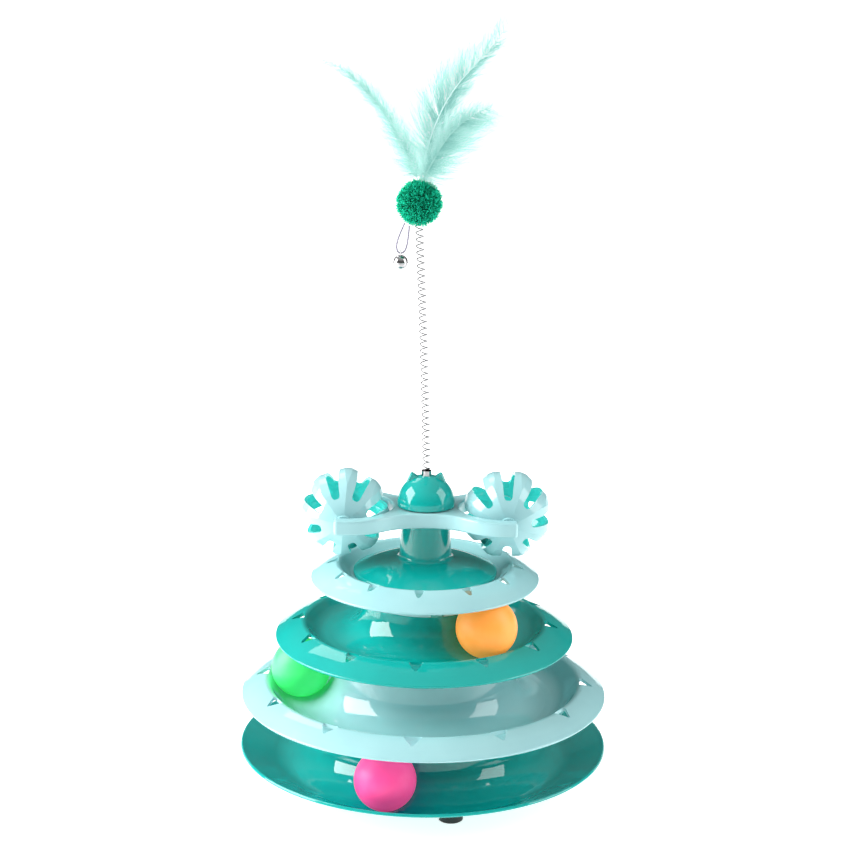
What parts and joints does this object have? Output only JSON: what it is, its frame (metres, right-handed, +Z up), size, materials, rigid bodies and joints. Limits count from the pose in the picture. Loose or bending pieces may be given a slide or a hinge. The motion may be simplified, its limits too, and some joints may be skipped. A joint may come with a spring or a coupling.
{
  "type": "cat ball track toy",
  "caption": "Tiered cat toy: ball tracks under drooping windowed rims, a turning fork with slotted bell cages, and a sprung pompom with feathers on top.",
  "frame": {"origin": "on the floor under the middle of the stack", "axes": "+Z up along the stack, -Y to the front, +X to the right seen from the front"},
  "size_m": [0.2494, 0.2494, 0.5081],
  "materials": {
    "teal_plastic": "glossy moulded",
    "aqua_plastic": "glossy moulded",
    "black_rubber": "matt",
    "pink_plastic": "fine matt",
    "green_plastic": "fine matt",
    "orange_plastic": "fine matt",
    "bell_nickel": "bright nickel plate",
    "steel": "drawn wire and turned steel",
    "pompom_yarn": "cut acrylic pile",
    "cord_elastic": "thin elastic cord",
    "feather_mint": "dyed down feather"
  },
  "bodies": {
    "stack": {"base_track": "teal_plastic", "rubber_foot_1": "black_rubber", "rubber_foot_2": "black_rubber", "rubber_foot_3": "black_rubber", "rubber_foot_4": "black_rubber", "second_track": "aqua_plastic", "third_track": "teal_plastic", "top_plate": "aqua_plastic", "pedestal": "teal_plastic", "hub_cap": "teal_plastic", "hub_screw": "steel", "spring_ferrule": "bell_nickel"},
    "pink_ball": {"ball_pink": "pink_plastic"},
    "green_ball": {"ball_green": "green_plastic"},
    "orange_ball": {"ball_orange": "orange_plastic"},
    "arm": {"spinner_arm": "aqua_plastic"},
    "left_cage": {"cage_left_half_a": "aqua_plastic", "cage_left_half_b": "aqua_plastic"},
    "right_cage": {"cage_right_half_a": "aqua_plastic", "cage_right_half_b": "aqua_plastic"},
    "left_bell": {"cage_bell_left": "bell_nickel"},
    "right_bell": {"cage_bell_right": "bell_nickel"},
    "left_pellet": {"cage_pellet_left": "steel"},
    "right_pellet": {"cage_pellet_right": "steel"},
    "wand": {"spring": "steel"},
    "pompom_head": {"pompom": "pompom_yarn", "feather_left": "feather_mint", "feather_tall": "feather_mint", "feather_short": "feather_mint"},
    "cord_loop": {"bell_cord": "cord_elastic"},
    "small_bell": {"hanging_bell": "bell_nickel"},
    "small_pellet": {"hanging_pellet": "steel"}
  },
  "joints": [
    {"name": "pink_ball_run", "type": "hinge", "parent": "stack", "child": "pink_ball", "pos_m": [0, 0, 0.03075], "axis": [0, 0, 1], "continuous": true},
    {"name": "green_ball_run", "type": "hinge", "parent": "stack", "child": "green_ball", "pos_m": [0, 0, 0.07445], "axis": [0, 0, 1], "continuous": true},
    {"name": "orange_ball_run", "type": "hinge", "parent": "stack", "child": "orange_ball", "pos_m": [0, 0, 0.12175], "axis": [0, 0, 1], "continuous": true},
    {"name": "arm_spin", "type": "hinge", "parent": "stack", "child": "arm", "pos_m": [0, 0, 0.1853], "axis": [0, 0, 1], "continuous": true},
    {"name": "left_cage_spin", "type": "hinge", "parent": "arm", "child": "left_cage", "pos_m": [-0.054, 0, 0.1853], "axis": [0, 1, 0], "continuous": true},
    {"name": "right_cage_spin", "type": "hinge", "parent": "arm", "child": "right_cage", "pos_m": [0.054, 0, 0.1853], "axis": [0, 1, 0], "continuous": true},
    {"name": "left_bell_roll", "type": "hinge", "parent": "left_cage", "child": "left_bell", "pos_m": [-0.054, 0, 0.1853], "axis": [0, 1, 0], "continuous": true},
    {"name": "right_bell_roll", "type": "hinge", "parent": "right_cage", "child": "right_bell", "pos_m": [0.054, 0, 0.1853], "axis": [0, 1, 0], "continuous": true},
    {"name": "left_pellet_shake", "type": "slide", "parent": "left_bell", "child": "left_pellet", "axis": [-0.1219, 0, 0.9925], "range_m": [0, 0.0101]},
    {"name": "right_pellet_shake", "type": "slide", "parent": "right_bell", "child": "right_pellet", "axis": [0.5592, 0, 0.829], "range_m": [0, 0.0101]},
    {"name": "wand_sway", "type": "hinge", "parent": "stack", "child": "wand", "pos_m": [-0.0028, 0, 0.2976], "axis": [0, 1, 0], "range_deg": [-35, 35], "stiffness_Nm_per_rad": 0.03, "deforming": ["spring"]},
    {"name": "pompom_nod", "type": "hinge", "parent": "wand", "child": "pompom_head", "pos_m": [-0.007, 0, 0.3776], "axis": [1, 0, 0], "range_deg": [-30, 30], "stiffness_Nm_per_rad": 0.03},
    {"name": "cord_swing", "type": "hinge", "parent": "pompom_head", "child": "cord_loop", "pos_m": [-0.0148, -0.003, 0.38], "axis": [0, 1, 0], "range_deg": [-8, 50], "deforming": ["bell_cord"]},
    {"name": "small_bell_swing", "type": "hinge", "parent": "cord_loop", "child": "small_bell", "pos_m": [-0.0186, -0.003, 0.3607], "axis": [1, 0, 0], "range_deg": [-50, 50]},
    {"name": "small_pellet_shake", "type": "slide", "parent": "small_bell", "child": "small_pellet", "axis": [0, 0, 1], "range_m": [0, 0.005]}
  ]
}
